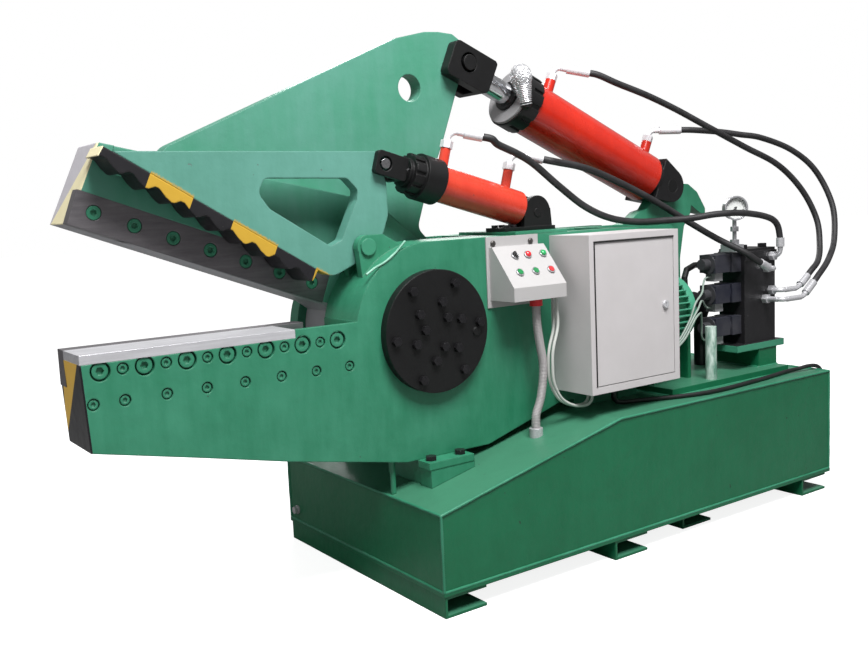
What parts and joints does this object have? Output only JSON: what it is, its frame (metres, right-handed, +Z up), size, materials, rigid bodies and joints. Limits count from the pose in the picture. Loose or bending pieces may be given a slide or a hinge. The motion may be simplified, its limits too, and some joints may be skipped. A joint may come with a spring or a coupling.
{
  "type": "alligator shear",
  "caption": "Hydraulic alligator shear with hold-down arm, driven by two cylinders, on a welded tank base with its pump set and cabinet.",
  "frame": {"origin": "middle of the footprint on the floor, under the tank and the lower jaw", "axes": "+X from the jaws towards the rear, +Y away from the operator's side, +Z up"},
  "size_m": [3.6884, 1.501, 2.036],
  "materials": {
    "green_paint": "gloss",
    "red_paint": "gloss",
    "black_paint": "satin",
    "blackened_steel": "satin",
    "worn_steel": "satin",
    "blade_steel": "satin",
    "ground_steel": "satin",
    "bronze": "satin",
    "cabinet_paint": "satin",
    "switchgear": "matte",
    "conduit": "satin",
    "pale_cable": "satin",
    "coil_plastic": "satin",
    "gauge_steel": "satin",
    "zinc": "satin",
    "hose_rubber": "matte",
    "cable_rubber": "matte",
    "rod_chrome": "polished",
    "teeth_paint": "satin",
    "lock_chrome": "polished",
    "green_button": "gloss",
    "red_button": "gloss",
    "black_plastic": "satin"
  },
  "bodies": {
    "base": {"tank": "green_paint", "foot_channels": "green_paint", "deck_plate": "green_paint", "lower_jaw_frame": "green_paint", "far_side_plate": "green_paint", "rear_frame": "green_paint", "seat_pads": "green_paint", "frame_bolts": "blackened_steel", "jaw_liner": "worn_steel", "lower_blade": "blade_steel", "jaw_screws": "green_paint", "main_pin": "ground_steel", "pin_bushes": "bronze", "pin_covers": "black_paint", "cylinder_pins": "ground_steel", "small_cyl_bracket": "black_paint", "cabinet_shell": "cabinet_paint", "cabinet_switchgear": "switchgear", "control_box": "cabinet_paint", "conduit": "conduit", "signal_cables": "pale_cable", "motor_frame": "green_paint", "pump_set": "black_paint", "manifold_block": "black_paint", "solenoid_valves": "coil_plastic", "gauge_case": "gauge_steel", "hydraulic_pipes": "black_paint", "pipe_fittings": "zinc", "hose_main_front": "hose_rubber", "hose_main_rear": "hose_rubber", "hose_small_front": "hose_rubber", "hose_small_rear": "hose_rubber", "supply_cable": "cable_rubber", "supply_coil": "cable_rubber"},
    "upper_jaw_body": {"upper_jaw": "green_paint", "upper_blade": "blade_steel", "upper_blade_bolts": "green_paint", "jaw_bush": "bronze", "jaw_clevis_pin": "ground_steel"},
    "main_barrel_body": {"main_barrel": "red_paint", "main_cylinder_heads": "black_paint", "main_hose_ends": "zinc"},
    "main_rod_body": {"main_rod": "rod_chrome", "main_rod_fork": "black_paint"},
    "arm_body": {"hold_down_arm": "green_paint", "arm_teeth": "teeth_paint", "arm_top_pin": "ground_steel"},
    "small_barrel_body": {"small_barrel": "red_paint", "small_gland": "black_paint", "small_hose_ends": "zinc"},
    "small_rod_body": {"small_rod": "rod_chrome", "small_rod_fork": "black_paint"},
    "door_body": {"cabinet_door": "cabinet_paint"},
    "lock_body": {"door_lock": "lock_chrome"},
    "button_start_body": {"button_start": "green_button"},
    "button_up_body": {"button_up": "green_button"},
    "button_stop_body": {"button_stop": "red_button"},
    "selector_body": {"selector": "black_plastic"},
    "needle_body": {"gauge_needle": "black_plastic"},
    "rotor_body": {"motor_rotor": "ground_steel"}
  },
  "joints": [
    {"name": "jaw_pivot", "type": "hinge", "parent": "base", "child": "upper_jaw_body", "pos_m": [-0.406, 0.05, 0.932], "axis": [0, -1, 0], "range_deg": [0, 18]},
    {"name": "main_swing", "type": "hinge", "parent": "base", "child": "main_barrel_body", "pos_m": [1.144, 0.05, 1.415], "axis": [0, -1, 0], "range_deg": [0, 2.6], "deforming": ["hose_main_front", "hose_main_rear"]},
    {"name": "main_rod_slide", "type": "slide", "parent": "main_barrel_body", "child": "main_rod_body", "axis": [-0.9156, 0, 0.4021], "range_m": [0, 0.345]},
    {"name": "arm_pivot", "type": "hinge", "parent": "base", "child": "arm_body", "pos_m": [-0.619, -0.15, 1.243], "axis": [0, -1, 0], "range_deg": [0, 29]},
    {"name": "small_swing", "type": "hinge", "parent": "base", "child": "small_barrel_body", "pos_m": [0.174, -0.15, 1.33], "axis": [0, -1, 0], "range_deg": [0, 2.6], "deforming": ["hose_small_front", "hose_small_rear"]},
    {"name": "small_rod_slide", "type": "slide", "parent": "small_barrel_body", "child": "small_rod_body", "axis": [-0.9617, 0, 0.274], "range_m": [0, 0.17]},
    {"name": "door_hinge", "type": "hinge", "parent": "base", "child": "door_body", "pos_m": [0.196, -0.4854, 0.94], "axis": [0, 0, -1], "range_deg": [0, 110]},
    {"name": "lock_turn", "type": "hinge", "parent": "door_body", "child": "lock_body", "pos_m": [0.57, -0.49, 0.947], "axis": [0, -1, 0], "range_deg": [0, 90]},
    {"name": "start_press", "type": "slide", "parent": "base", "child": "button_start_body", "axis": [0, 0.7725, -0.635], "range_m": [0, 0.004], "stiffness_N_per_m": 500},
    {"name": "up_press", "type": "slide", "parent": "base", "child": "button_up_body", "axis": [0, 0.7725, -0.635], "range_m": [0, 0.004], "stiffness_N_per_m": 500},
    {"name": "stop_press", "type": "slide", "parent": "base", "child": "button_stop_body", "axis": [0, 0.7725, -0.635], "range_m": [0, 0.004], "stiffness_N_per_m": 500},
    {"name": "selector_turn", "type": "hinge", "parent": "base", "child": "selector_body", "pos_m": [-0.058, -0.32683, 1.1757], "axis": [0, -0.7725, 0.635], "range_deg": [-45, 45]},
    {"name": "needle_turn", "type": "hinge", "parent": "base", "child": "needle_body", "pos_m": [1.222, -0.325, 1.303], "axis": [0.4695, 0.8829, 0], "range_deg": [0, 270]},
    {"name": "motor_shaft", "type": "hinge", "parent": "base", "child": "rotor_body", "pos_m": [0.829, -0.17, 0.87], "axis": [1, 0, 0], "continuous": true}
  ],
  "couplings": [
    {"joint": "main_swing", "follows": "jaw_pivot", "ratio": 0.11036},
    {"joint": "main_rod_slide", "follows": "jaw_pivot", "m_per_rad": 1.0533},
    {"joint": "small_swing", "follows": "arm_pivot", "ratio": 0.0593},
    {"joint": "small_rod_slide", "follows": "arm_pivot", "m_per_rad": 0.29522}
  ]
}
